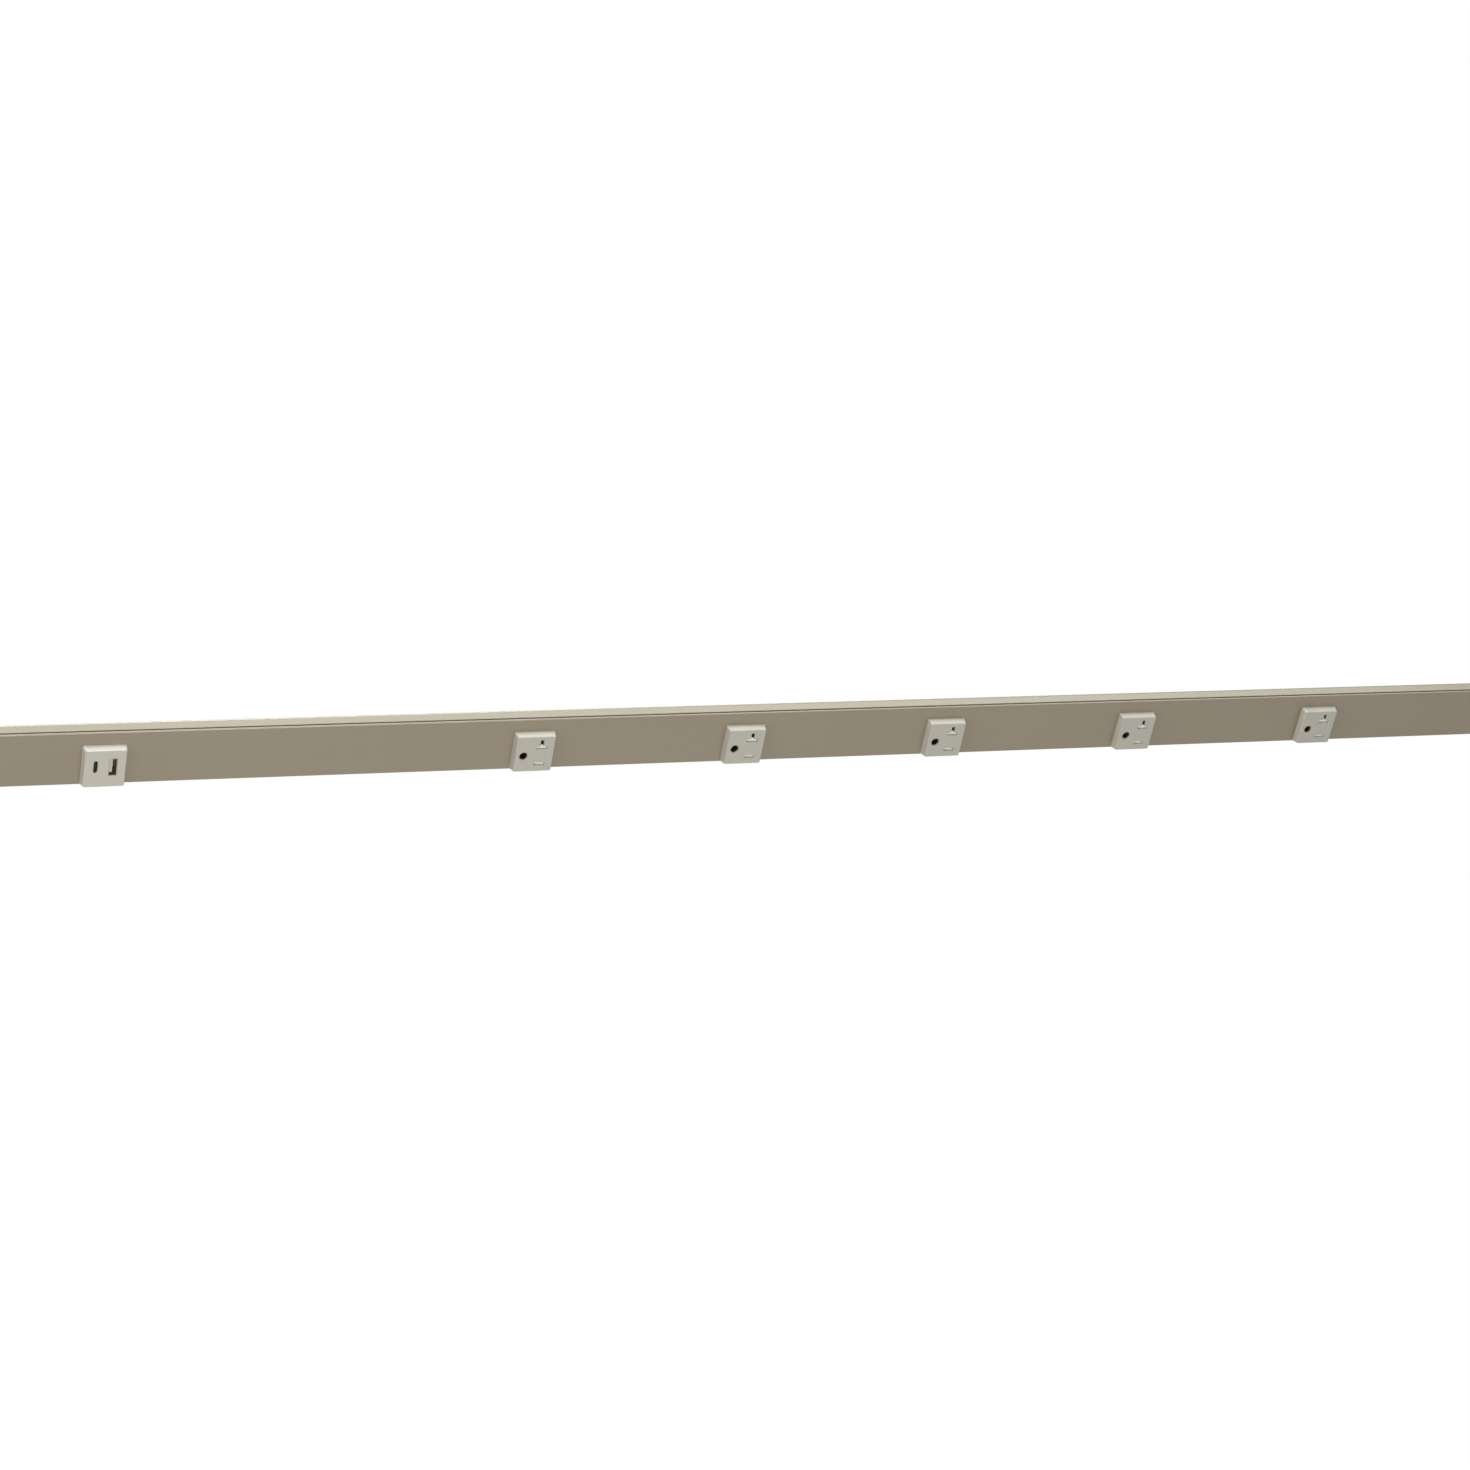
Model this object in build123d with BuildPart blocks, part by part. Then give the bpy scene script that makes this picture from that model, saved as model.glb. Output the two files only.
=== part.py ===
from build123d import *
import os
from math import atan2, cos, degrees, radians, sin

os.makedirs("parts", exist_ok=True)

# Housing. X runs along the strip, the face looks forward (-Y) and down, the top (z = 0) meets the cabinet.
strip_length = 1219.2
face_width = 37.9  # along the slope
face_tilt = 45.0  # from vertical
lip_height = 6.8  # upright nose above the face
bottom_width = 22.0  # square to the face, behind its lower edge
wall = 1.6
lip_radius = 0.9
nose_radius = 0.4

# Front cover, which snaps behind the nose
cover_thickness = 1.6
cover_corner_radius = 1.0
cover_edge_radius = 0.5
joint_gap = 0.7  # the dark line between nose and cover
cover_return = 0.9  # how far the cover turns up the nose
leg_thickness = 1.2
leg_height = 3.4
leg_clearance = 0.1
cut_margin = 1.0

# Module layout along X
receptacle_pitch = 152.4
usb_pitch = 287.7
receptacle_count = 5

# Module front, in face axes: x across, v up the slope, n outwards
base_half_width = 14.2
base_bottom = 0.1
base_top = 29.0
front_proud = 5.6
front_inset = 1.0  # how far each side leans in from base to front
front_wall = 1.7
corner_cut = 0.7
edge_radius = 0.5

# Module body behind the face
body_half_width = 12.5
body_bottom = 2.0
body_top = 26.5
body_depth = 16.5
skirt_depth = 2.6
skirt_wall = 0.6
barb_reach = 0.5  # past the edge of the cut-out
barb_height = 8.0
cutout_clearance = 0.2
seat_gap = 0.05
moving_gap = 0.3

# Slot pattern of a 20 A receptacle, ground to the left
ground_x = -7.4
blade_x = 4.5
pattern_v = 12.8
blade_spacing = 12.7
ground_hole_radius = 2.8
slot_height = 2.2
hot_slot_length = 7.1
neutral_slot_length = 7.9
stem_reach = 12.0  # top of the T above the ground hole
slot_chamfer = 0.5
blade_thickness = 1.5

# Shutter behind the slots, with a rail on each side
shutter_travel = 2.6
shutter_thickness = 1.3
shutter_half_width = 4.5
shutter_overlap = 0.35
window_margin = 0.1
ramp_reach = 0.6
rail_width = 1.2

# Contacts
leaf_thickness = 0.8
leaf_width = 6.4
leaf_squeeze = 0.1  # each leaf stands this far inside a blade's face
leaf_drop = 3.0  # from the face plane to the tips of the leaves
stem_leaf_gap = 0.6
web_thickness = 0.8
body_floor = 1.5
tail_thickness = 1.0
tail_half_width = 1.2
ground_pin_diameter = 4.8
ground_leaf_width = 5.0
pocket_gap = 0.3
tail_step = 0.6  # where a tail widens behind the body

# Bus wires and the forks that clip on them
wire_radius = 1.6
wire_fit = 0.05
fork_prong = 0.8
fork_reach = 0.3
wire_drop = 2.5  # from the back of the bodies to the hot and neutral wires
ground_wire_drop = 8.1
hot_wire_v = 7.5
neutral_wire_v = 19.5
ground_wire_v = 13.6
wire_end_margin = 16.0
wire_lead = 70.0

# USB module
usb_a_x, usb_a_v = 5.2, 15.4
usb_a_width, usb_a_height = 5.3, 12.6
usb_a_tongue_width, usb_a_tongue_height = 1.9, 10.0
usb_a_tongue_gap = 0.2
usb_c_x, usb_c_v = -6.0, 15.9
usb_c_width, usb_c_height = 3.0, 8.9
usb_c_tongue_width, usb_c_tongue_height = 0.7, 6.7
port_chamfer = 0.25
shell_wall = 0.3
shell_recess = 0.7
tongue_recess = 0.9
tongue_base = 3.0
usb_port_depth = 12.5
tub_wall = 1.2
board_thickness = 1.6
post_width = 2.4
inductor_width, inductor_height, inductor_depth = 6.0, 6.0, 1.6

# Ends, screws and supply entry
cap_thickness = 4.0
cap_plug_depth = 5.0
cap_plug_wall = 1.6
cap_clearance = 0.2
cap_edge_radius = 0.5
boss_radius = 2.3
boss_hole_radius = 1.25
boss_drop = 3.4
front_boss_inset = 6.8
screw_shank_radius = 1.2
screw_shank_length = 9.0
screw_head_radius = 2.4
screw_head_height = 1.6
screw_recess = 1.7
cross_length = 2.8
cross_width = 0.7
cross_depth = 0.9
mount_hole_radius = 2.25
mount_hole_count = 4
mount_hole_y = -5.0
entry_inset = 45.0
entry_y = 1.7
entry_hole_radius = 11.1
bushing_bore_radius = 8.0
bushing_flange_radius = 13.0
bushing_flange = 1.4
bushing_clearance = 0.05

# Ground screw and lug near the supply entry
ground_screw_offset = 36.0
ground_screw_drop = 9.5
ground_shank_radius = 1.9
ground_head_radius = 3.6
ground_head_height = 2.2
lug_thickness = 1.0
lug_half_length = 5.0

# Derived frame: the origin is the middle of the top mounting face
tilt_sin = sin(radians(face_tilt))
tilt_cos = cos(radians(face_tilt))
depth = face_width * tilt_sin + bottom_width * tilt_cos
height = lip_height + face_width * tilt_cos
front_y = -depth / 2
back_y = depth / 2
low_y = front_y + face_width * tilt_sin
low_z = -height
section_length = strip_length - 2 * cap_thickness
module_span = usb_pitch + (receptacle_count - 1) * receptacle_pitch
usb_x = -module_span / 2
receptacle_xs = [usb_x + usb_pitch + receptacle_pitch * i for i in range(receptacle_count)]
module_xs = [usb_x] + receptacle_xs
cover_top = -(lip_height - cover_return)
nose_bottom = cover_top + joint_gap
hot_v = pattern_v - blade_spacing / 2
neutral_v = pattern_v + blade_spacing / 2
stem_top = pattern_v + stem_reach
front_inner = front_proud - front_wall
shutter_n = front_inner - moving_gap - shutter_thickness
plateau_n = shutter_n - moving_gap
shutter_low = hot_v - slot_height / 2 - shutter_overlap
shutter_high = neutral_v + slot_height / 2 + shutter_overlap
leaf_start = -leaf_drop
web_end = -(body_depth - body_floor)
leaf_end = web_end + web_thickness
hot_wire_n = -(body_depth + wire_drop)
neutral_wire_n = hot_wire_n
ground_wire_n = -(body_depth + ground_wire_drop)
cavity_half_width = body_half_width - skirt_wall
cavity_bottom = body_bottom + skirt_wall
cavity_top = body_top - skirt_wall
body_start = -skirt_depth - seat_gap
barb_depth = cover_thickness + seat_gap
board_n = front_proud - shell_recess - usb_port_depth


def face_point(v, n):
    """Y and Z of a point v up the slope and n out of the face plane."""
    return (low_y - v * tilt_sin - n * tilt_cos, low_z + v * tilt_cos - n * tilt_sin)


def face_plane(x, n=0.0):
    """Workplane on the face: local X along the strip, local Y up the slope, normal outwards."""
    y, z = face_point(0, n)
    return Plane(origin=(x, y, z), x_dir=(1, 0, 0), z_dir=(0, -tilt_cos, -tilt_sin))


def along_plane(x, v):
    """Section plane square to the slope: local X along the strip, local Y inwards from the face."""
    y, z = face_point(v, 0)
    return Plane(origin=(x, y, z), x_dir=(1, 0, 0), z_dir=(0, -tilt_sin, tilt_cos))


def cross_plane(x):
    """Section plane square to the strip, with Y to the right and Z up."""
    return Plane(origin=(x, 0, 0), x_dir=(0, 1, 0), z_dir=(1, 0, 0))


def slab(x, across, up, out):
    """Block in face axes from its limits across, up and out."""
    with BuildPart() as block:
        with BuildSketch(face_plane(x, out[0])):
            with Locations((sum(across) / 2, sum(up) / 2)):
                Rectangle(across[1] - across[0], up[1] - up[0])
        extrude(amount=out[1] - out[0])
    return block.part


outline = [
    (front_y, 0),
    (front_y, -lip_height),
    (low_y, low_z),
    face_point(0, -bottom_width),
    (back_y, 0),
]
boss_points = [(front_y + front_boss_inset, -boss_drop), (back_y - boss_drop, -boss_drop)]
entry_x = -strip_length / 2 + entry_inset
mount_hole_spacing = 2 * receptacle_pitch
mount_hole_centre = receptacle_xs[1] + receptacle_pitch / 2
ground_screw_plane = Plane(
    origin=(entry_x + ground_screw_offset, back_y, -ground_screw_drop), x_dir=(1, 0, 0), z_dir=(0, -1, 0)
)
leg_y = front_y + wall + leg_clearance
leg_back = leg_y + leg_thickness
leg_foot_v = (low_y + cover_thickness * tilt_cos - leg_back) / tilt_sin

# Housing: five-sided channel, open at the face, with two screw channels for the end caps
with BuildPart() as housing:
    with BuildSketch(cross_plane(-section_length / 2)) as channel:
        with BuildLine():
            Polyline(*outline, close=True)
        make_face()
        fillet(channel.vertices().sort_by_distance((front_y, 0, 0))[0], lip_radius)
        offset(amount=-wall, kind=Kind.INTERSECTION, mode=Mode.SUBTRACT)
        with Locations(*boss_points):
            Circle(boss_radius)
        with BuildLine(mode=Mode.PRIVATE) as opening_line:
            Polyline(
                (front_y - cut_margin, nose_bottom),
                (leg_back, nose_bottom),
                face_point(leg_foot_v, -cover_thickness),
                face_point(-cut_margin, -cover_thickness),
                face_point(-cut_margin, cut_margin),
                face_point(face_width, cut_margin),
                close=True,
            )
        make_face(opening_line.edges(), mode=Mode.SUBTRACT)
        fillet(channel.vertices().sort_by_distance((front_y, nose_bottom, 0))[0], nose_radius)
        with Locations(*boss_points):
            Circle(boss_hole_radius, mode=Mode.SUBTRACT)
    extrude(amount=section_length)
    with BuildSketch(Plane.XY):
        with Locations((mount_hole_centre, mount_hole_y)):
            with GridLocations(mount_hole_spacing, 0, mount_hole_count, 1):
                Circle(mount_hole_radius)
        with Locations((entry_x, entry_y)):
            Circle(entry_hole_radius)
    extrude(amount=-wall, mode=Mode.SUBTRACT)
    with BuildSketch(ground_screw_plane):
        Circle(ground_shank_radius)
    extrude(amount=wall, mode=Mode.SUBTRACT)
housing.part.label = "housing"
export_step(housing.part, "parts/housing.step")

# Front cover: sloping plate that turns up the nose, with a spring leg behind it and six cut-outs
with BuildPart() as front_cover:
    with BuildSketch(cross_plane(-section_length / 2)) as cover_section:
        with BuildLine():
            Polyline(
                (low_y, low_z),
                (front_y, -lip_height),
                (front_y, cover_top),
                (leg_y, cover_top),
                (leg_y, cover_top + leg_height),
                (leg_back, cover_top + leg_height),
                face_point(leg_foot_v, -cover_thickness),
                face_point(0, -cover_thickness),
                close=True,
            )
        make_face()
        fillet(cover_section.vertices().sort_by_distance((front_y, -lip_height, 0))[0], cover_corner_radius)
        fillet(cover_section.vertices().sort_by_distance((low_y, low_z, 0))[0], cover_edge_radius)
    extrude(amount=section_length)
    for x in module_xs:
        cutout = slab(
            x,
            (-body_half_width - cutout_clearance, body_half_width + cutout_clearance),
            (body_bottom - cutout_clearance, body_top + cutout_clearance),
            (-cover_thickness - cut_margin, cut_margin),
        )
        add(cutout, mode=Mode.SUBTRACT)
front_cover.part.label = "front_cover"
export_step(front_cover.part, "parts/front_cover.step")


def module_front(x):
    """Tapered front, hollow behind, with a skirt in the cut-out and a barb each side behind the cover."""
    front_half_width = base_half_width - front_inset
    with BuildPart() as front:
        # Two tapered profiles, crossed
        with BuildSketch(along_plane(x, base_bottom)) as plan:
            with BuildLine():
                Polyline(
                    (-base_half_width, 0),
                    (base_half_width, 0),
                    (front_half_width, -front_proud),
                    (-front_half_width, -front_proud),
                    close=True,
                )
            make_face()
        extrude(plan.sketch, amount=base_top - base_bottom)
        with BuildSketch(cross_plane(x - base_half_width)) as profile:
            with BuildLine():
                Polyline(
                    face_point(base_bottom, 0),
                    face_point(base_top, 0),
                    face_point(base_top - front_inset, front_proud),
                    face_point(base_bottom + front_inset, front_proud),
                    close=True,
                )
            make_face()
        extrude(profile.sketch, amount=2 * base_half_width, mode=Mode.INTERSECT)
        outward = Axis((x, low_y, low_z), (0, -tilt_cos, -tilt_sin))
        chamfer(front.edges().group_by(outward)[1], corner_cut)
        fillet(front.faces().sort_by(outward)[-1].edges(), edge_radius)
        span = (-body_half_width, body_half_width)
        add(slab(x, span, (body_bottom, body_top), (-skirt_depth, 0)))
        barb_v = (body_bottom + body_top - barb_height) / 2
        with BuildSketch(along_plane(x, barb_v)) as barbs:
            for side in (-1, 1):
                with BuildLine():
                    Polyline(
                        (side * (body_half_width - skirt_wall), skirt_depth),
                        (side * body_half_width, skirt_depth),
                        (side * (body_half_width + cutout_clearance + barb_reach), barb_depth),
                        (side * (body_half_width - skirt_wall), barb_depth),
                        close=True,
                    )
                make_face()
        extrude(barbs.sketch, amount=barb_height)
        hollow_span = (-cavity_half_width, cavity_half_width)
        hollow = slab(x, hollow_span, (cavity_bottom, cavity_top), (-skirt_depth, front_inner))
        add(hollow, mode=Mode.SUBTRACT)
    return front.part


def slot_pattern(x, grow):
    """Hot slot, T-shaped neutral slot and ground hole on the module front, grown by the same amount."""
    with BuildSketch(face_plane(x, front_proud)) as pattern:
        with Locations((blade_x, hot_v)):
            Rectangle(hot_slot_length + 2 * grow, slot_height + 2 * grow)
        with Locations((blade_x, neutral_v)):
            Rectangle(neutral_slot_length + 2 * grow, slot_height + 2 * grow)
        with Locations((blade_x, (neutral_v + stem_top + grow) / 2)):
            Rectangle(slot_height + 2 * grow, stem_top + grow - neutral_v)
        with Locations((ground_x, pattern_v)):
            Circle(ground_hole_radius + grow)
    return pattern.sketch


def port_pattern(x, grow):
    """USB-A and USB-C openings on the module front, grown by the same amount."""
    with BuildSketch(face_plane(x, front_proud)) as pattern:
        with Locations((usb_a_x, usb_a_v)):
            Rectangle(usb_a_width + 2 * grow, usb_a_height + 2 * grow)
        with Locations((usb_c_x, usb_c_v)):
            SlotOverall(usb_c_height + 2 * grow, usb_c_width + 2 * grow, rotation=90)
    return pattern.sketch


def fork_tail(x, from_v, root_n, wire_v, wire_n):
    """Upright plate from a contact to the forked end that straddles a bus wire."""
    gap = wire_radius + wire_fit
    outer = gap + fork_prong
    neck_n = -body_depth - tail_step
    end_n = wire_n - fork_reach
    with BuildPart() as tail:
        with BuildSketch(cross_plane(x - tail_thickness / 2)):
            with BuildLine():
                Polyline(
                    face_point(from_v - tail_half_width, root_n),
                    face_point(from_v + tail_half_width, root_n),
                    face_point(from_v + tail_half_width, neck_n),
                    face_point(wire_v + outer, neck_n),
                    face_point(wire_v + outer, end_n),
                    face_point(wire_v - outer, end_n),
                    face_point(wire_v - outer, neck_n),
                    face_point(from_v - tail_half_width, neck_n),
                    close=True,
                )
            make_face()
            with BuildLine(mode=Mode.PRIVATE) as mouth:
                Polyline(
                    face_point(wire_v - gap, wire_n + gap),
                    face_point(wire_v + gap, wire_n + gap),
                    face_point(wire_v + gap, end_n - cut_margin),
                    face_point(wire_v - gap, end_n - cut_margin),
                    close=True,
                )
            make_face(mouth.edges(), mode=Mode.SUBTRACT)
        extrude(amount=tail_thickness)
    return tail.part


def leaf_half_gap(grip):
    """Half the opening between two leaves that squeeze something of the given thickness."""
    return grip / 2 - leaf_squeeze


def clip(x, centre_v, grip, width):
    """Pair of spring leaves on a common web."""
    half_web = leaf_half_gap(grip) + leaf_thickness
    span = (-width / 2, width / 2)
    with BuildPart() as leaves:
        for low in (centre_v + leaf_half_gap(grip), centre_v - half_web):
            add(slab(x, span, (low, low + leaf_thickness), (leaf_end, leaf_start)))
        add(slab(x, span, (centre_v - half_web, centre_v + half_web), (web_end, leaf_end)))
    return leaves.part


# Receptacles: front, body, shutter and three contacts each
for number, x in enumerate(receptacle_xs, start=1):
    name = f"receptacle_{number}"
    blade_centre = x + blade_x
    runway = (blade_x - shutter_half_width - moving_gap, blade_x + shutter_half_width + moving_gap)

    with BuildPart() as face:
        add(module_front(x))
        rail_depth = (plateau_n + seat_gap, front_inner)
        add(slab(x, (runway[0] - rail_width, runway[0]), (cavity_bottom, cavity_top), rail_depth))
        add(slab(x, (runway[1], cavity_half_width), (cavity_bottom, cavity_top), rail_depth))
        # Room for the shutter to run down behind the front's lower edge
        run_end = shutter_low - shutter_travel - moving_gap
        add(slab(x, runway, (run_end, cavity_bottom + 1), (0, front_inner)), mode=Mode.SUBTRACT)
        # Slots and ground hole, each with a small bevelled rim
        extrude(slot_pattern(x, 0), amount=-front_wall, mode=Mode.SUBTRACT)
        extrude(slot_pattern(x, slot_chamfer), amount=-slot_chamfer, taper=45, mode=Mode.SUBTRACT)
    face.part.label = f"{name}_face"
    export_step(face.part, f"parts/{name}_face.step")

    with BuildPart() as body:
        add(slab(x, (-body_half_width, body_half_width), (body_bottom, body_top), (-body_depth, body_start)))
        plateau_half = cavity_half_width - cutout_clearance
        plateau_up = (cavity_bottom + cutout_clearance, cavity_top - cutout_clearance)
        add(slab(x, (-plateau_half, plateau_half), plateau_up, (body_start, plateau_n)))
        blade_pocket = 2 * (leaf_half_gap(blade_thickness) + leaf_thickness + pocket_gap)
        ground_pocket = 2 * (leaf_half_gap(ground_pin_diameter) + leaf_thickness + pocket_gap)
        with BuildSketch(face_plane(x, web_end - seat_gap)):
            with Locations((blade_x, hot_v), (blade_x, neutral_v)):
                Rectangle(leaf_width + 2 * pocket_gap, blade_pocket)
            with Locations((blade_x, (neutral_v + stem_top) / 2)):
                Rectangle(blade_pocket, stem_top - neutral_v)
            with Locations((ground_x, pattern_v)):
                Rectangle(ground_leaf_width + 2 * pocket_gap, ground_pocket)
        extrude(amount=plateau_n - web_end + seat_gap, mode=Mode.SUBTRACT)
        with BuildSketch(face_plane(x, -body_depth)):
            with Locations((blade_x, hot_v), (blade_x, neutral_v), (ground_x, pattern_v)):
                Rectangle(tail_thickness + 2 * seat_gap, 2 * (tail_half_width + seat_gap))
        extrude(amount=body_depth + leaf_end, mode=Mode.SUBTRACT)
    body.part.label = f"{name}_body"
    export_step(body.part, f"parts/{name}_body.step")

    with BuildPart() as shutter:
        shutter_out = (shutter_n, shutter_n + shutter_thickness)
        window_half = hot_slot_length / 2 + 2 * window_margin
        window_low = hot_v - slot_height / 2 - window_margin + shutter_travel
        window_high = hot_v + slot_height / 2 + window_margin + shutter_travel
        span = (-shutter_half_width, shutter_half_width)
        add(slab(blade_centre, span, (shutter_low, shutter_high), shutter_out))
        window = slab(blade_centre, (-window_half, window_half), (window_low, window_high), shutter_out)
        add(window, mode=Mode.SUBTRACT)
        # Ramp at the window's lower edge, which a blade's tip pushes on
        with BuildSketch(cross_plane(blade_centre - window_half)):
            with BuildLine():
                Polyline(
                    face_point(window_low, shutter_out[1]),
                    face_point(window_low - ramp_reach, shutter_out[1]),
                    face_point(window_low, sum(shutter_out) / 2),
                    close=True,
                )
            make_face()
        extrude(amount=2 * window_half, mode=Mode.SUBTRACT)
    shutter.part.label = f"{name}_shutter"
    export_step(shutter.part, f"parts/{name}_shutter.step")

    with BuildPart() as hot_contact:
        add(clip(blade_centre, hot_v, blade_thickness, leaf_width))
        add(fork_tail(blade_centre, hot_v, web_end, hot_wire_v, hot_wire_n))
    hot_contact.part.label = f"{name}_hot_contact"
    export_step(hot_contact.part, f"parts/{name}_hot_contact.step")

    with BuildPart() as neutral_contact:
        add(clip(blade_centre, neutral_v, blade_thickness, leaf_width))
        # Second pair of leaves across the first, for a 20 A plug
        half_gap = leaf_half_gap(blade_thickness)
        half_web = half_gap + leaf_thickness
        stem_up = (neutral_v + half_web + stem_leaf_gap, stem_top - moving_gap)
        for low in (half_gap, -half_web):
            add(slab(blade_centre, (low, low + leaf_thickness), stem_up, (leaf_end, leaf_start)))
        add(slab(blade_centre, (-half_web, half_web), (neutral_v, stem_up[1]), (web_end, leaf_end)))
        add(fork_tail(blade_centre, neutral_v, web_end, neutral_wire_v, neutral_wire_n))
    neutral_contact.part.label = f"{name}_neutral_contact"
    export_step(neutral_contact.part, f"parts/{name}_neutral_contact.step")

    with BuildPart() as ground_contact:
        add(clip(x + ground_x, pattern_v, ground_pin_diameter, ground_leaf_width))
        add(fork_tail(x + ground_x, pattern_v, web_end, ground_wire_v, ground_wire_n))
    ground_contact.part.label = f"{name}_ground_contact"
    export_step(ground_contact.part, f"parts/{name}_ground_contact.step")

# USB module: front, tub, board, two ports and the supply tabs
with BuildPart() as usb_face:
    add(module_front(usb_x))
    extrude(port_pattern(usb_x, 0), amount=-front_wall, mode=Mode.SUBTRACT)
    extrude(port_pattern(usb_x, port_chamfer), amount=-port_chamfer, taper=45, mode=Mode.SUBTRACT)
usb_face.part.label = "usb_face"
export_step(usb_face.part, "parts/usb_face.step")

tub_half = body_half_width - tub_wall
tub_bottom = body_bottom + tub_wall
tub_top = body_top - tub_wall
board_back = board_n - board_thickness
with BuildPart() as usb_body:
    add(slab(usb_x, (-body_half_width, body_half_width), (body_bottom, body_top), (-body_depth, body_start)))
    hollow = slab(usb_x, (-tub_half, tub_half), (tub_bottom, tub_top), (-body_depth + tub_wall, body_start))
    add(hollow, mode=Mode.SUBTRACT)
    # Corner posts that carry the board
    for across in ((-tub_half, -tub_half + post_width), (tub_half - post_width, tub_half)):
        for up in ((tub_bottom, tub_bottom + post_width), (tub_top - post_width, tub_top)):
            add(slab(usb_x, across, up, (-body_depth, board_back - seat_gap)))
    with BuildSketch(face_plane(usb_x, -body_depth)):
        with Locations((0, hot_v), (0, neutral_v)):
            Rectangle(tail_thickness + 2 * seat_gap, 2 * (tail_half_width + seat_gap))
    extrude(amount=tub_wall, mode=Mode.SUBTRACT)
usb_body.part.label = "usb_body"
export_step(usb_body.part, "parts/usb_body.step")

with BuildPart() as usb_circuit_board:
    board_half = tub_half - cutout_clearance
    board_up = (tub_bottom + cutout_clearance, tub_top - cutout_clearance)
    add(slab(usb_x, (-board_half, board_half), board_up, (board_back, board_n)))
    # Inductor behind the board
    inductor_up = (pattern_v - inductor_height / 2, pattern_v + inductor_height / 2)
    inductor_out = (board_back - inductor_depth, board_back)
    add(slab(usb_x + usb_a_x, (-inductor_width / 2, inductor_width / 2), inductor_up, inductor_out))
usb_circuit_board.part.label = "usb_circuit_board"
export_step(usb_circuit_board.part, "parts/usb_circuit_board.step")

shell_a_width = usb_a_width - 2 * seat_gap
shell_a_height = usb_a_height - 2 * seat_gap
port_n = board_n + seat_gap
with BuildPart() as usb_a_shell:
    with BuildSketch(face_plane(usb_x, port_n)):
        with Locations((usb_a_x, usb_a_v)):
            RectangleRounded(shell_a_width, shell_a_height, shell_wall)
            Rectangle(shell_a_width - 2 * shell_wall, shell_a_height - 2 * shell_wall, mode=Mode.SUBTRACT)
    extrude(amount=usb_port_depth - seat_gap)
usb_a_shell.part.label = "usb_a_shell"
export_step(usb_a_shell.part, "parts/usb_a_shell.step")

inner_a_half = shell_a_width / 2 - shell_wall
inner_a_top = usb_a_v + shell_a_height / 2 - shell_wall
with BuildPart() as usb_a_tongue:
    plug_half = inner_a_half - seat_gap
    plug_up = (2 * usb_a_v - inner_a_top + seat_gap, inner_a_top - seat_gap)
    add(slab(usb_x + usb_a_x, (-plug_half, plug_half), plug_up, (port_n, board_n + tongue_base)))
    tongue_left = -inner_a_half + usb_a_tongue_gap
    tongue_top = inner_a_top - usb_a_tongue_gap
    tongue = slab(
        usb_x + usb_a_x,
        (tongue_left, tongue_left + usb_a_tongue_width),
        (tongue_top - usb_a_tongue_height, tongue_top),
        (board_n + tongue_base, front_proud - shell_recess - tongue_recess),
    )
    add(tongue)
usb_a_tongue.part.label = "usb_a_tongue"
export_step(usb_a_tongue.part, "parts/usb_a_tongue.step")

shell_c_width = usb_c_width - 2 * seat_gap
shell_c_height = usb_c_height - 2 * seat_gap
inner_c_width = shell_c_width - 2 * shell_wall
inner_c_height = shell_c_height - 2 * shell_wall
with BuildPart() as usb_c_shell:
    with BuildSketch(face_plane(usb_x, port_n)):
        with Locations((usb_c_x, usb_c_v)):
            SlotOverall(shell_c_height, shell_c_width, rotation=90)
            SlotOverall(inner_c_height, inner_c_width, rotation=90, mode=Mode.SUBTRACT)
    extrude(amount=usb_port_depth - seat_gap)
usb_c_shell.part.label = "usb_c_shell"
export_step(usb_c_shell.part, "parts/usb_c_shell.step")

with BuildPart() as usb_c_tongue:
    with BuildSketch(face_plane(usb_x, port_n)):
        with Locations((usb_c_x, usb_c_v)):
            SlotOverall(inner_c_height - 2 * seat_gap, inner_c_width - 2 * seat_gap, rotation=90)
    extrude(amount=tongue_base)
    half_width = usb_c_tongue_width / 2
    half_height = usb_c_tongue_height / 2
    tongue = slab(
        usb_x + usb_c_x,
        (-half_width, half_width),
        (usb_c_v - half_height, usb_c_v + half_height),
        (board_n + tongue_base, front_proud - shell_recess - tongue_recess),
    )
    add(tongue)
usb_c_tongue.part.label = "usb_c_tongue"
export_step(usb_c_tongue.part, "parts/usb_c_tongue.step")

supply = ((hot_v, hot_wire_v, hot_wire_n), (neutral_v, neutral_wire_v, neutral_wire_n))
for label, (from_v, wire_v, wire_n) in zip(("usb_hot_tab", "usb_neutral_tab"), supply):
    with BuildPart() as tab:
        add(fork_tail(usb_x, from_v, board_back - seat_gap, wire_v, wire_n))
    tab.part.label = label
    export_step(tab.part, f"parts/{label}.step")

# Bus wires
wire_start = -strip_length / 2 + wire_lead
wire_stop = receptacle_xs[-1] + wire_end_margin
for label, wire_v, wire_n in (
    ("hot_wire", hot_wire_v, hot_wire_n),
    ("neutral_wire", neutral_wire_v, neutral_wire_n),
    ("ground_wire", ground_wire_v, ground_wire_n),
):
    with BuildPart() as wire:
        with BuildSketch(cross_plane(wire_start)):
            with Locations(face_point(wire_v, wire_n)):
                Circle(wire_radius)
        extrude(amount=wire_stop - wire_start)
    wire.part.label = label
    export_step(wire.part, f"parts/{label}.step")

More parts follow.
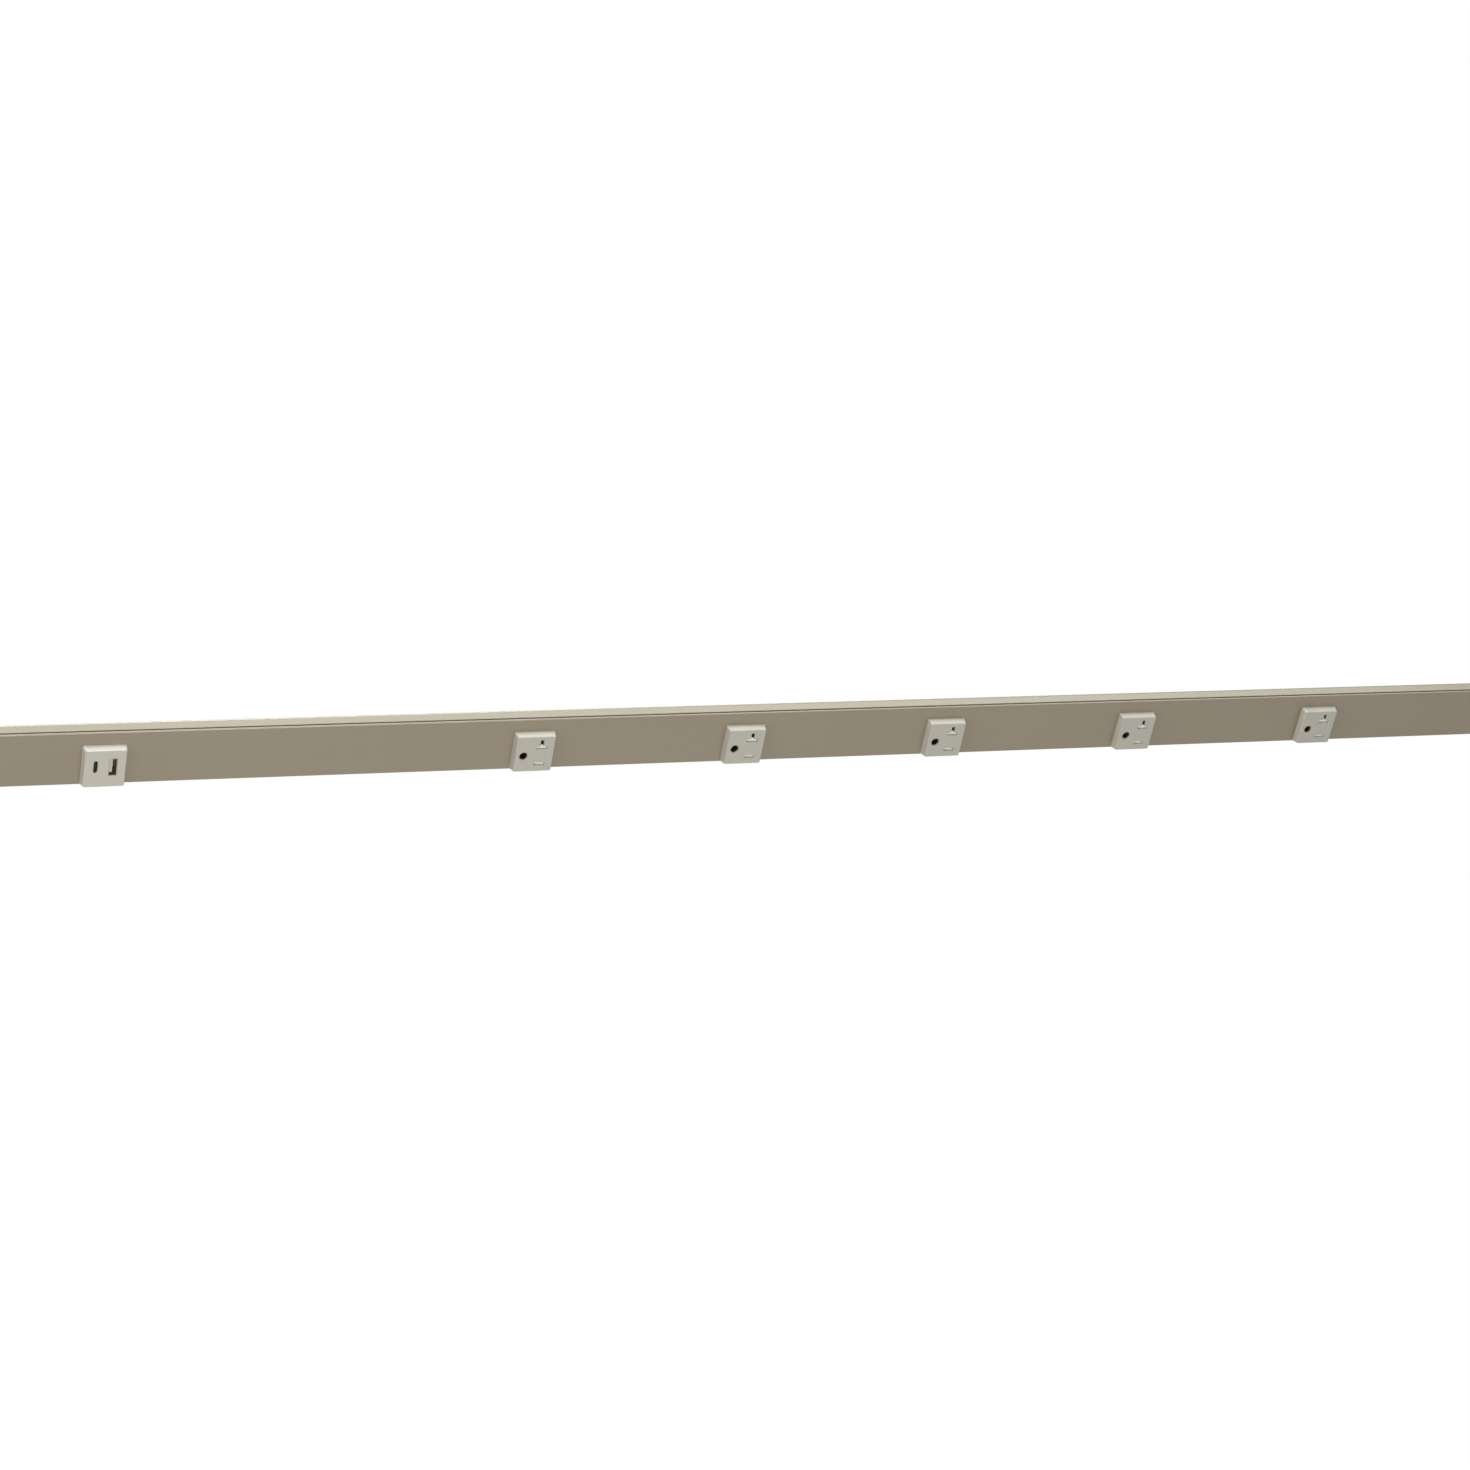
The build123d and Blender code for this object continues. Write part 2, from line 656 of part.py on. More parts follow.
# Supply entry bushing, pushed up into the top wall from inside
with BuildPart() as supply_bushing:
    flange_z = -wall - bushing_clearance
    with BuildSketch(Plane.XY.offset(flange_z)):
        with Locations((entry_x, entry_y)):
            Circle(bushing_flange_radius)
    extrude(amount=-bushing_flange)
    with BuildSketch(Plane.XY.offset(flange_z)):
        with Locations((entry_x, entry_y)):
            Circle(entry_hole_radius - bushing_clearance)
    extrude(amount=wall)
    with BuildSketch(Plane.XY):
        with Locations((entry_x, entry_y)):
            Circle(bushing_bore_radius)
    extrude(amount=flange_z - bushing_flange, mode=Mode.SUBTRACT)
supply_bushing.part.label = "supply_bushing"
export_step(supply_bushing.part, "parts/supply_bushing.step")

# Ground screw through the back wall, over the lug that clips on the ground wire
lug_y = back_y - wall - bushing_clearance
with BuildPart() as ground_screw:
    with BuildSketch(ground_screw_plane):
        Circle(ground_shank_radius - bushing_clearance)
    extrude(amount=back_y - lug_y + lug_thickness + bushing_clearance)
    with BuildSketch(ground_screw_plane.offset(back_y - lug_y + lug_thickness + bushing_clearance)):
        RegularPolygon(ground_head_radius, 6)
    extrude(amount=ground_head_height)
ground_screw.part.label = "ground_screw"
export_step(ground_screw.part, "parts/ground_screw.step")

with BuildPart() as ground_lug:
    lug_z = -ground_screw_drop
    arm_x = entry_x + ground_screw_offset + lug_half_length
    with BuildSketch(ground_screw_plane.offset(back_y - lug_y)):
        Rectangle(2 * lug_half_length, 2 * ground_head_radius)
        Circle(ground_shank_radius, mode=Mode.SUBTRACT)
    extrude(amount=lug_thickness)
    wire_y, wire_z = face_point(ground_wire_v, ground_wire_n)
    gap = wire_radius + wire_fit
    with BuildSketch(cross_plane(arm_x)):
        with BuildLine():
            Polyline(
                (lug_y, lug_z + ground_head_radius),
                (lug_y, lug_z - ground_head_radius),
                (wire_y, wire_z - gap - fork_prong),
                (wire_y, wire_z),
                close=True,
            )
        make_face()
        with Locations((wire_y, wire_z)):
            Circle(gap + fork_prong)
            Circle(gap, mode=Mode.SUBTRACT)
        with Locations((wire_y - gap, wire_z)):
            Rectangle(2 * gap, 2 * gap, mode=Mode.SUBTRACT)
    extrude(amount=lug_thickness)
ground_lug.part.label = "ground_lug"
export_step(ground_lug.part, "parts/ground_lug.step")

# End caps with a plug rim inside the section, and their four screws
for side, label in ((-1, "left_end_cap"), (1, "right_end_cap")):
    plane = Plane(origin=(side * section_length / 2, 0, 0), x_dir=(0, side, 0), z_dir=(side, 0, 0))
    turned_outline = [(side * y, z) for y, z in outline]
    turned_bosses = [(side * y, z) for y, z in boss_points]
    with BuildPart() as end_cap:
        with BuildSketch(plane):
            with BuildLine():
                Polyline(*turned_outline, close=True)
            make_face()
        extrude(amount=cap_thickness)
        fillet(end_cap.faces().sort_by(Axis((0, 0, 0), (side, 0, 0)))[-1].edges(), cap_edge_radius)
        with BuildSketch(plane):
            with BuildLine():
                Polyline(*turned_outline, close=True)
            make_face()
            offset(amount=-(wall + cap_clearance), kind=Kind.INTERSECTION, mode=Mode.REPLACE)
            offset(amount=-cap_plug_wall, kind=Kind.INTERSECTION, mode=Mode.SUBTRACT)
            with Locations(*turned_bosses):
                Circle(boss_radius + cap_clearance, mode=Mode.SUBTRACT)
            # Room for the cover's spring leg
            with Locations((side * (front_y + wall), -lip_height / 2)):
                leg_room = 2 * (leg_clearance + leg_thickness + cap_clearance)
                Rectangle(leg_room, 2 * lip_height, mode=Mode.SUBTRACT)
        extrude(amount=-cap_plug_depth)
        with Locations(plane.offset(cap_thickness)):
            with Locations(*turned_bosses):
                hole_radius = screw_shank_radius + cap_clearance
                recess_radius = screw_head_radius + cap_clearance
                CounterBoreHole(hole_radius, recess_radius, screw_recess, cap_thickness)
    end_cap.part.label = label
    export_step(end_cap.part, f"parts/{label}.step")

with BuildPart() as end_cap_screws:
    for side in (-1, 1):
        seat_x = side * (strip_length / 2 - screw_recess)
        seat = Plane(origin=(seat_x, 0, 0), x_dir=(0, side, 0), z_dir=(side, 0, 0))
        with BuildSketch(seat):
            with Locations(*[(side * y, z) for y, z in boss_points]):
                Circle(screw_head_radius)
        extrude(amount=screw_head_height)
        with BuildSketch(seat):
            with Locations(*[(side * y, z) for y, z in boss_points]):
                Circle(screw_shank_radius)
        extrude(amount=-screw_shank_length)
        with BuildSketch(seat.offset(screw_head_height)):
            with Locations(*[(side * y, z) for y, z in boss_points]):
                Rectangle(cross_length, cross_width)
                Rectangle(cross_width, cross_length)
        extrude(amount=-cross_depth, mode=Mode.SUBTRACT)
end_cap_screws.part.label = "end_cap_screws"
export_step(end_cap_screws.part, "parts/end_cap_screws.step")
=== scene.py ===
import math

import bmesh
import bpy
from mathutils import Matrix, Vector


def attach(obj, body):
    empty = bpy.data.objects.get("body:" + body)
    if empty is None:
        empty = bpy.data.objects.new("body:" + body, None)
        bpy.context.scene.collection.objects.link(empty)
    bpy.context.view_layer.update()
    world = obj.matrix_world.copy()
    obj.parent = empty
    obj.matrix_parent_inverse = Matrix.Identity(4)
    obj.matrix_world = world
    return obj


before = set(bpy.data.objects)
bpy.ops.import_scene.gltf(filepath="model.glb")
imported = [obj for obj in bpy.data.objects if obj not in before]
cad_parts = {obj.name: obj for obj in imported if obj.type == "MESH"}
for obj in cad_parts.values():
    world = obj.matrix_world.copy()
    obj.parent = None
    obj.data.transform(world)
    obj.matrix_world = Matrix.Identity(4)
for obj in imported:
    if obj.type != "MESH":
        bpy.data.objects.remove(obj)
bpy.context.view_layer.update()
scene = bpy.context.scene
scene.view_settings.view_transform = "Standard"
mm = 0.001

# The camera stands at the photograph's angle: metres, degrees, lens and sensor in millimetres
cameraSettings = {
    "place": (-0.87784, -2.05283, -0.47074),
    "turn": 22.471,  # towards the right end
    "dip": 4.551,  # downwards
    "tip": 17.393,  # about the strip's own line, which brings the sloping face round
    "lens": 80.99,
    "sensor": 36,
    "near": 0.05,
    "far": 60,
}


def aimCamera(settings):
    camera = bpy.data.objects.new("camera", bpy.data.cameras.new("camera"))
    scene.collection.objects.link(camera)
    camera.data.sensor_fit = "HORIZONTAL"
    camera.data.sensor_width = settings["sensor"]
    camera.data.lens = settings["lens"]
    camera.data.clip_start = settings["near"]
    camera.data.clip_end = settings["far"]
    tip = Matrix.Rotation(math.radians(settings["tip"]), 4, "X")
    turn = Matrix.Rotation(math.radians(-settings["turn"]), 4, "Z")
    dip = Matrix.Rotation(math.radians(90 - settings["dip"]), 4, "X")
    camera.matrix_world = Matrix.Translation(settings["place"]) @ tip @ turn @ dip
    scene.camera = camera


aimCamera(cameraSettings)
print("camera set")


# Shared steps for wiring shader nodes
def setInput(tree, socket, value):
    # a link where the value is another node's output, or else a plain number or colour
    if hasattr(value, "links"):
        tree.links.new(value, socket)
    else:
        socket.default_value = value


def addMath(tree, operation, *values):
    node = tree.nodes.new("ShaderNodeMath")
    node.operation = operation
    for socket, value in zip(node.inputs, values):
        setInput(tree, socket, value)
    return node.outputs[0]


def addBlend(tree, first, second, share):
    # a share of the first, and the rest from the second
    firstPart = addMath(tree, "MULTIPLY", first, share)
    secondPart = addMath(tree, "MULTIPLY", second, 1 - share)
    return addMath(tree, "ADD", firstPart, secondPart)


def addNoise(tree, vector, scale, detail, rough=0.5):
    noise = tree.nodes.new("ShaderNodeTexNoise")
    setInput(tree, noise.inputs["Vector"], vector)
    setInput(tree, noise.inputs["Scale"], scale)
    setInput(tree, noise.inputs["Detail"], detail)
    setInput(tree, noise.inputs["Roughness"], rough)
    return noise.outputs["Fac"]


def addMix(tree, factor, first, second):
    node = tree.nodes.new("ShaderNodeMix")
    node.data_type = "RGBA"
    setInput(tree, node.inputs["Factor"], factor)
    for label, colour in (("A", first), ("B", second)):
        socket = next(s for s in node.inputs if s.name == label and s.type == "RGBA")
        setInput(tree, socket, colour)
    return next(s for s in node.outputs if s.type == "RGBA")


def mixShaders(tree, factor, first, second):
    node = tree.nodes.new("ShaderNodeMixShader")
    for socket, value in zip(node.inputs, (factor, first, second)):
        tree.links.new(value, socket)
    return node.outputs[0]


def seenRays(tree):
    # 1 where the camera, a gloss or a clear material looks, 0 where light is gathered
    path = tree.nodes.new("ShaderNodeLightPath")
    looked = addMath(tree, "MAXIMUM", path.outputs["Is Camera Ray"], path.outputs["Is Glossy Ray"])
    return addMath(tree, "MAXIMUM", looked, path.outputs["Is Transmission Ray"])


# The studio: a white backdrop, a pale floor well below the strip and soft lamps; metres and watts
backdropSettings = {
    "ambient": 0.24,  # its strength as a light; where it is seen its strength is 1
    "ambientTint": (1, 1, 1),
    "tint": (1.0, 1.0, 1.0),
}
floorSettings = {
    "drop": 1.3,
    "size": 5.0,
    "tint": (0.84, 0.84, 0.83),
    "roughness": 0.9,
    "gloss": 0.1,
    "paleTint": (0.86, 0.86, 0.85),
    "paleness": 0.55,  # share of the pale tint where the floor is seen; the rest keeps the shadow
}
lampSettings = {
    "topBox": {
        "place": (-0.22, -0.95, 1.3), "target": (-0.2, 0, 0),
        "width": 1.2, "height": 0.6, "power": 32, "tint": (0.975, 0.99, 1.0),
    },
    "frontCard": {
        "place": (0.75, -2.1, 0.46), "target": (0.1, 0, -0.02),
        "width": 2.4, "height": 0.5, "power": 10.5, "tint": (0.82, 0.99, 1.0),
    },
    "leftFill": {
        "place": (-1.9, -1.2, 0.0), "target": (-0.3, 0, -0.02),
        "width": 1.2, "height": 1.2, "power": 16, "tint": (1.0, 0.98, 0.95),
    },
    "lowFront": {
        "place": (-0.15, -1.1, -0.8), "target": (-0.12, 0, -0.03),
        "width": 0.7, "height": 0.4, "power": 6.0, "tint": (1.0, 0.99, 0.97),
    },
    "backFill": {
        "place": (0.4, 2.2, 1.6), "target": (0, 0, 0),
        "width": 1.8, "height": 1.2, "power": 15, "tint": (1.0, 1.0, 1.0),
    },
}


def hangBackdrop(settings):
    world = bpy.data.worlds.new("studioWorld")
    scene.world = world
    world.use_nodes = True
    tree = world.node_tree
    tree.nodes.clear()
    light = tree.nodes.new("ShaderNodeBackground")
    light.inputs["Strength"].default_value = settings["ambient"]
    light.inputs["Color"].default_value = (*settings["ambientTint"], 1)
    plain = tree.nodes.new("ShaderNodeBackground")
    plain.inputs["Color"].default_value = (*settings["tint"], 1)
    surface = mixShaders(tree, seenRays(tree), light.outputs[0], plain.outputs[0])
    out = tree.nodes.new("ShaderNodeOutputWorld")
    tree.links.new(surface, out.inputs["Surface"])


def paintFloor(settings):
    paint = bpy.data.materials.new("floorPaint")
    paint.use_nodes = True
    tree = paint.node_tree
    shader = tree.nodes["Principled BSDF"]
    shader.inputs["Base Color"].default_value = (*settings["tint"], 1)
    shader.inputs["Roughness"].default_value = settings["roughness"]
    shader.inputs["Specular IOR Level"].default_value = settings["gloss"]
    pale = tree.nodes.new("ShaderNodeEmission")
    pale.inputs["Color"].default_value = (*settings["paleTint"], 1)
    share = addMath(tree, "MULTIPLY", seenRays(tree), settings["paleness"])
    above = mixShaders(tree, share, shader.outputs[0], pale.outputs[0])
    # seen from below the sheet is clear, so it never hides the strip
    clear = tree.nodes.new("ShaderNodeBsdfTransparent")
    fromBelow = tree.nodes.new("ShaderNodeNewGeometry").outputs["Backfacing"]
    surface = mixShaders(tree, fromBelow, above, clear.outputs[0])
    tree.links.new(surface, tree.nodes["Material Output"].inputs["Surface"])
    return paint


def layFloor(settings):
    mesh = bpy.data.meshes.new("floor")
    sheet = bmesh.new()
    bmesh.ops.create_grid(sheet, x_segments=1, y_segments=1, size=settings["size"])
    bmesh.ops.translate(sheet, verts=sheet.verts, vec=(0, 0, -settings["drop"]))
    sheet.to_mesh(mesh)
    sheet.free()
    floor = bpy.data.objects.new("floor", mesh)
    scene.collection.objects.link(floor)
    mesh.materials.append(paintFloor(settings))


def placeLamp(name, settings):
    lamp = bpy.data.lights.new(name, "AREA")
    lamp.shape = "RECTANGLE"
    lamp.size = settings["width"]
    lamp.size_y = settings["height"]
    lamp.energy = settings["power"]
    lamp.color = settings["tint"]
    holder = bpy.data.objects.new(name, lamp)
    aim = Vector(settings["target"]) - Vector(settings["place"])
    turn = aim.to_track_quat("-Z", "Y").to_matrix().to_4x4()
    holder.matrix_world = Matrix.Translation(settings["place"]) @ turn
    scene.collection.objects.link(holder)


hangBackdrop(backdropSettings)
layFloor(floorSettings)
for name, settings in lampSettings.items():
    placeLamp(name, settings)
print("studio lit with", len(lampSettings), "lamps")


# Shared surface effects, each a node group that gives a colour, a roughness and a height
def startGroup(name, inputs):
    group = bpy.data.node_groups.new(name, "ShaderNodeTree")
    for label, value in inputs.items():
        kind = "NodeSocketColor" if isinstance(value, tuple) else "NodeSocketFloat"
        socket = group.interface.new_socket(name=label, in_out="INPUT", socket_type=kind)
        socket.default_value = value
    return group, group.nodes.new("NodeGroupInput").outputs


def endGroup(group, colour, roughness, height):
    outputs = (
        ("Colour", "NodeSocketColor", colour),
        ("Roughness", "NodeSocketFloat", roughness),
        ("Height", "NodeSocketFloat", height),
    )
    for label, kind, value in outputs:
        group.interface.new_socket(name=label, in_out="OUTPUT", socket_type=kind)
    result = group.nodes.new("NodeGroupOutput")
    for label, kind, value in outputs:
        group.links.new(value, result.inputs[label])
    return group


def addWander(group, given, noise):
    # the roughness strays from its middle value by its spread
    astray = addMath(group, "SUBTRACT", noise, 0.5)
    stray = addMath(group, "MULTIPLY", astray, given["Spread"])
    return addMath(group, "ADD", given["Roughness"], stray)


# Fine plated grain drawn out along the strip, with slow clouding and a few soft rub marks
satinGrainSettings = {
    "inputs": {
        "Tint": (0.5, 0.5, 0.5, 1), "Deep Tint": (0.4, 0.4, 0.4, 1), "Grain Scale": 3000,
        "Draw Out": 0.03, "Cloud Scale": 9, "Roughness": 0.35, "Spread": 0.1,
    },
    "grainDetail": 2, "cloudDetail": 2,
    "colourFromGrain": 0.45,  # share of the grain in the colour, beside the clouding
    "rubScale": 160, "rubDetail": 3,
    "roughnessFromGrain": 0.5,  # share of the grain in the roughness, beside the rub marks
    "fleckScale": 5200, "fleckDetail": 1, "fleckHeight": 0.5,
}


def makeSatinGrain(settings):
    group, given = startGroup("satinGrain", settings["inputs"])
    place = group.nodes.new("ShaderNodeTexCoord").outputs["Object"]
    split = group.nodes.new("ShaderNodeSeparateXYZ")
    join = group.nodes.new("ShaderNodeCombineXYZ")
    group.links.new(place, split.inputs[0])
    drawn = addMath(group, "MULTIPLY", split.outputs["X"], given["Draw Out"])
    group.links.new(drawn, join.inputs["X"])
    group.links.new(split.outputs["Y"], join.inputs["Y"])
    group.links.new(split.outputs["Z"], join.inputs["Z"])
    along = join.outputs[0]
    grain = addNoise(group, along, given["Grain Scale"], settings["grainDetail"])
    fleck = addNoise(group, place, settings["fleckScale"], settings["fleckDetail"])
    cloud = addNoise(group, place, given["Cloud Scale"], settings["cloudDetail"])
    rub = addNoise(group, along, settings["rubScale"], settings["rubDetail"])
    shade = addBlend(group, grain, cloud, settings["colourFromGrain"])
    wear = addBlend(group, grain, rub, settings["roughnessFromGrain"])
    flecks = addMath(group, "MULTIPLY", fleck, settings["fleckHeight"])
    return endGroup(
        group,
        colour=addMix(group, shade, given["Deep Tint"], given["Tint"]),
        roughness=addWander(group, given, wear),
        height=addMath(group, "ADD", grain, flecks),
    )


# Spark-eroded mould texture, with slow flow marks in the colour
mouldedSkinSettings = {
    "inputs": {
        "Tint": (0.5, 0.5, 0.5, 1), "Deep Tint": (0.4, 0.4, 0.4, 1), "Grain Scale": 2600,
        "Flow Scale": 60, "Roughness": 0.45, "Spread": 0.1,
    },
    "grainDetail": 2, "grainRough": 0.6, "flowDetail": 3,
    "colourFromGrain": 0.35,  # share of the grain in the colour, beside the flow marks
}


def makeMouldedSkin(settings):
    group, given = startGroup("mouldedSkin", settings["inputs"])
    place = group.nodes.new("ShaderNodeTexCoord").outputs["Object"]
    grain = addNoise(group, place, given["Grain Scale"], settings["grainDetail"],
                     settings["grainRough"])
    flow = addNoise(group, place, given["Flow Scale"], settings["flowDetail"])
    shade = addBlend(group, grain, flow, settings["colourFromGrain"])
    return endGroup(
        group,
        colour=addMix(group, shade, given["Deep Tint"], given["Tint"]),
        roughness=addWander(group, given, flow),
        height=grain,
    )


# Rolled or drawn bright metal: lengthwise lines and small tarnish clouds
drawnMetalSettings = {
    "inputs": {
        "Tint": (0.8, 0.8, 0.8, 1), "Tarnish": (0.5, 0.5, 0.5, 1), "Line Scale": 4000,
        "Tarnish Scale": 300, "Roughness": 0.3, "Spread": 0.15,
    },
    "stretch": (0.04, 1, 1),
    "lineDetail": 2,
    "tarnishDetail": 4, "tarnishRough": 0.6,
    "tarnishFalloff": 2.2,  # higher keeps the tarnish to fewer spots
}


def makeDrawnMetal(settings):
    group, given = startGroup("drawnMetal", settings["inputs"])
    place = group.nodes.new("ShaderNodeTexCoord").outputs["Object"]
    mapping = group.nodes.new("ShaderNodeMapping")
    mapping.inputs["Scale"].default_value = settings["stretch"]
    group.links.new(place, mapping.inputs["Vector"])
    lines = addNoise(group, mapping.outputs[0], given["Line Scale"], settings["lineDetail"])
    spots = addNoise(group, place, given["Tarnish Scale"], settings["tarnishDetail"],
                     settings["tarnishRough"])
    tarnished = addMath(group, "POWER", spots, settings["tarnishFalloff"])
    return endGroup(
        group,
        colour=addMix(group, tarnished, given["Tint"], given["Tarnish"]),
        roughness=addWander(group, given, spots),
        height=lines,
    )


surfaceGroups = {
    "satinGrain": makeSatinGrain(satinGrainSettings),
    "mouldedSkin": makeMouldedSkin(mouldedSkinSettings),
    "drawnMetal": makeDrawnMetal(drawnMetalSettings),
}
print("surface effects made:", len(surfaceGroups))


def linear(red, green, blue):
    # 0 to 255 screen values to the shader's linear ones, by the standard screen curve
    def one(value):
        value /= 255
        return value / 12.92 if value <= 0.04045 else ((value + 0.055) / 1.055) ** 2.4
    return (one(red), one(green), one(blue), 1.0)


# Each finish: its surface effect, that effect's values, the bump's height in metres, and the
# values that are the same all over the surface
finishSettings = {
    "satinNickel": {
        "group": "satinGrain",
        "skin": {
            "Tint": linear(137, 123, 99), "Deep Tint": linear(126, 112, 89),
            "Grain Scale": 3200, "Draw Out": 0.03, "Cloud Scale": 7,
            "Roughness": 0.34, "Spread": 0.16,
        },
        "relief": 0.000012,
        "shader": {
            "Metallic": 0.15, "IOR": 1.7,
            "Coat Weight": 0.6, "Coat Roughness": 0.24, "Coat IOR": 1.8,
        },
    },
    "capPlastic": {
        "group": "mouldedSkin",
        "skin": {
            "Tint": linear(157, 147, 128), "Deep Tint": linear(150, 140, 121),
            "Grain Scale": 2400, "Flow Scale": 45, "Roughness": 0.5, "Spread": 0.1,
        },
        "relief": 0.00002,
        "shader": {"IOR": 1.48},
    },
    "facePlastic": {
        "group": "mouldedSkin",
        "skin": {
            "Tint": linear(178, 173, 162), "Deep Tint": linear(171, 166, 155),
            "Grain Scale": 3400, "Flow Scale": 50, "Roughness": 0.42, "Spread": 0.08,
        },
        "relief": 0.000008,
        "shader": {"IOR": 1.48},
    },
    "portPlastic": {
        "group": "mouldedSkin",
        "skin": {
            "Tint": linear(187, 182, 171), "Deep Tint": linear(180, 175, 164),
            "Grain Scale": 3400, "Flow Scale": 50, "Roughness": 0.42, "Spread": 0.08,
        },
        "relief": 0.000008,
        "shader": {"IOR": 1.48},
    },
    "shutterPlastic": {
        "group": "mouldedSkin",
        "skin": {
            "Tint": linear(250, 247, 238), "Deep Tint": linear(244, 240, 230),
            "Grain Scale": 3000, "Flow Scale": 90, "Roughness": 0.38, "Spread": 0.08,
        },
        "relief": 0.000008,
        "shader": {"IOR": 1.48},
    },
    "bodyPlastic": {
        "group": "mouldedSkin",
        "skin": {
            "Tint": linear(92, 82, 66), "Deep Tint": linear(74, 65, 52),
            "Grain Scale": 1800, "Flow Scale": 70, "Roughness": 0.5, "Spread": 0.14,
        },
        "relief": 0.00002,
        "shader": {"IOR": 1.5},
    },
    "contactBrass": {
        "group": "drawnMetal",
        "skin": {
            "Tint": linear(214, 184, 112), "Tarnish": linear(168, 128, 68),
            "Line Scale": 5000, "Tarnish Scale": 260, "Roughness": 0.26, "Spread": 0.2,
        },
        "relief": 0.00001,
        "shader": {"Metallic": 1.0},
    },
    "wireCopper": {
        "group": "drawnMetal",
        "skin": {
            "Tint": linear(206, 134, 98), "Tarnish": linear(146, 80, 54),
            "Line Scale": 6000, "Tarnish Scale": 140, "Roughness": 0.24, "Spread": 0.2,
        },
        "relief": 0.00001,
        "shader": {"Metallic": 1.0},
    },
    "screwSteel": {
        "group": "drawnMetal",
        "skin": {
            "Tint": linear(196, 196, 192), "Tarnish": linear(150, 148, 140),
            "Line Scale": 3000, "Tarnish Scale": 500, "Roughness": 0.3, "Spread": 0.2,
        },
        "relief": 0.00001,
        "shader": {"Metallic": 1.0},
    },
    "shellNickel": {
        "group": "drawnMetal",
        "skin": {
            "Tint": linear(188, 186, 180), "Tarnish": linear(150, 146, 138),
            "Line Scale": 5000, "Tarnish Scale": 400, "Roughness": 0.28, "Spread": 0.14,
        },
        "relief": 0.000008,
        "shader": {"Metallic": 1.0},
    },
    "tongueWhite": {
        "group": "mouldedSkin",
        "skin": {
            "Tint": linear(196, 192, 178), "Deep Tint": linear(186, 181, 166),
            "Grain Scale": 3600, "Flow Scale": 120, "Roughness": 0.4, "Spread": 0.08,
        },
        "relief": 0.000006,
        "shader": {"IOR": 1.5},
    },
    "tongueBlack": {
        "group": "mouldedSkin",
        "skin": {
            "Tint": linear(44, 43, 42), "Deep Tint": linear(32, 31, 31),
            "Grain Scale": 3600, "Flow Scale": 120, "Roughness": 0.42, "Spread": 0.08,
        },
        "relief": 0.000006,
        "shader": {"IOR": 1.5},
    },
    "bushingNylon": {
        "group": "mouldedSkin",
        "skin": {
            "Tint": linear(56, 55, 54), "Deep Tint": linear(42, 41, 41),
            "Grain Scale": 2200, "Flow Scale": 80, "Roughness": 0.36, "Spread": 0.1,
        },
        "relief": 0.000015,
        "shader": {"IOR": 1.53},
    },
    "boardLaminate": {
        "group": "mouldedSkin",
        "skin": {
            "Tint": linear(46, 122, 72), "Deep Tint": linear(30, 92, 52),
            "Grain Scale": 1500, "Flow Scale": 300, "Roughness": 0.32, "Spread": 0.1,
        },
        "relief": 0.00001,
        "shader": {"IOR": 1.55, "Coat Weight": 0.4, "Coat Roughness": 0.2},
    },
    "contactGold": {
        "group": "drawnMetal",
        "skin": {
            "Tint": linear(232, 196, 110), "Tarnish": linear(204, 160, 80),
            "Line Scale": 6000, "Tarnish Scale": 900, "Roughness": 0.2, "Spread": 0.1,
        },
        "relief": 0.000004,
        "shader": {"Metallic": 1.0},
    },
}


def makeFinish(name, settings):
    finish = bpy.data.materials.new(name)
    finish.use_nodes = True
    tree = finish.node_tree
    shader = tree.nodes["Principled BSDF"]
    skin = tree.nodes.new("ShaderNodeGroup")
    skin.node_tree = surfaceGroups[settings["group"]]
    for label, value in settings["skin"].items():
        skin.inputs[label].default_value = value
    bump = tree.nodes.new("ShaderNodeBump")
    bump.inputs["Strength"].default_value = 1.0
    bump.inputs["Distance"].default_value = settings["relief"]
    tree.links.new(skin.outputs["Colour"], shader.inputs["Base Color"])
    tree.links.new(skin.outputs["Roughness"], shader.inputs["Roughness"])
    tree.links.new(skin.outputs["Height"], bump.inputs["Height"])
    tree.links.new(bump.outputs["Normal"], shader.inputs["Normal"])
    for label, value in settings["shader"].items():
        shader.inputs[label].default_value = value
    return finish


finishes = {name: makeFinish(name, settings) for name, settings in finishSettings.items()}
print("finishes mixed:", len(finishes))

nodeFinishes = {
    "housing": "satinNickel", "front_cover": "satinNickel",
    "left_end_cap": "capPlastic", "right_end_cap": "capPlastic", "end_cap_screws": "screwSteel",
    "supply_bushing": "bushingNylon", "ground_screw": "screwSteel", "ground_lug": "contactBrass",
    "hot_wire": "wireCopper", "neutral_wire": "wireCopper", "ground_wire": "wireCopper",
    "usb_face": "portPlastic", "usb_body": "bodyPlastic", "usb_circuit_board": "boardLaminate",
    "usb_a_shell": "shellNickel", "usb_a_tongue": "tongueWhite",
    "usb_c_shell": "shellNickel", "usb_c_tongue": "tongueBlack",
    "usb_hot_tab": "contactBrass", "usb_neutral_tab": "contactBrass",
}
receptacleCount = 5
receptacleFinishes = {
    "face": "facePlastic", "body": "bodyPlastic", "shutter": "shutterPlastic",
    "hot_contact": "contactBrass", "neutral_contact": "contactBrass",
    "ground_contact": "contactBrass",
}
for number in range(1, receptacleCount + 1):
    for part, finish in receptacleFinishes.items():
        nodeFinishes[f"receptacle_{number}_{part}"] = finish

for name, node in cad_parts.items():
    node.data.materials.clear()
    node.data.materials.append(finishes[nodeFinishes[name]])
print("solids finished:", len(nodeFinishes))


def evenOffsets(count, pitch):
    return [pitch * (step - (count - 1) / 2) for step in range(count)]


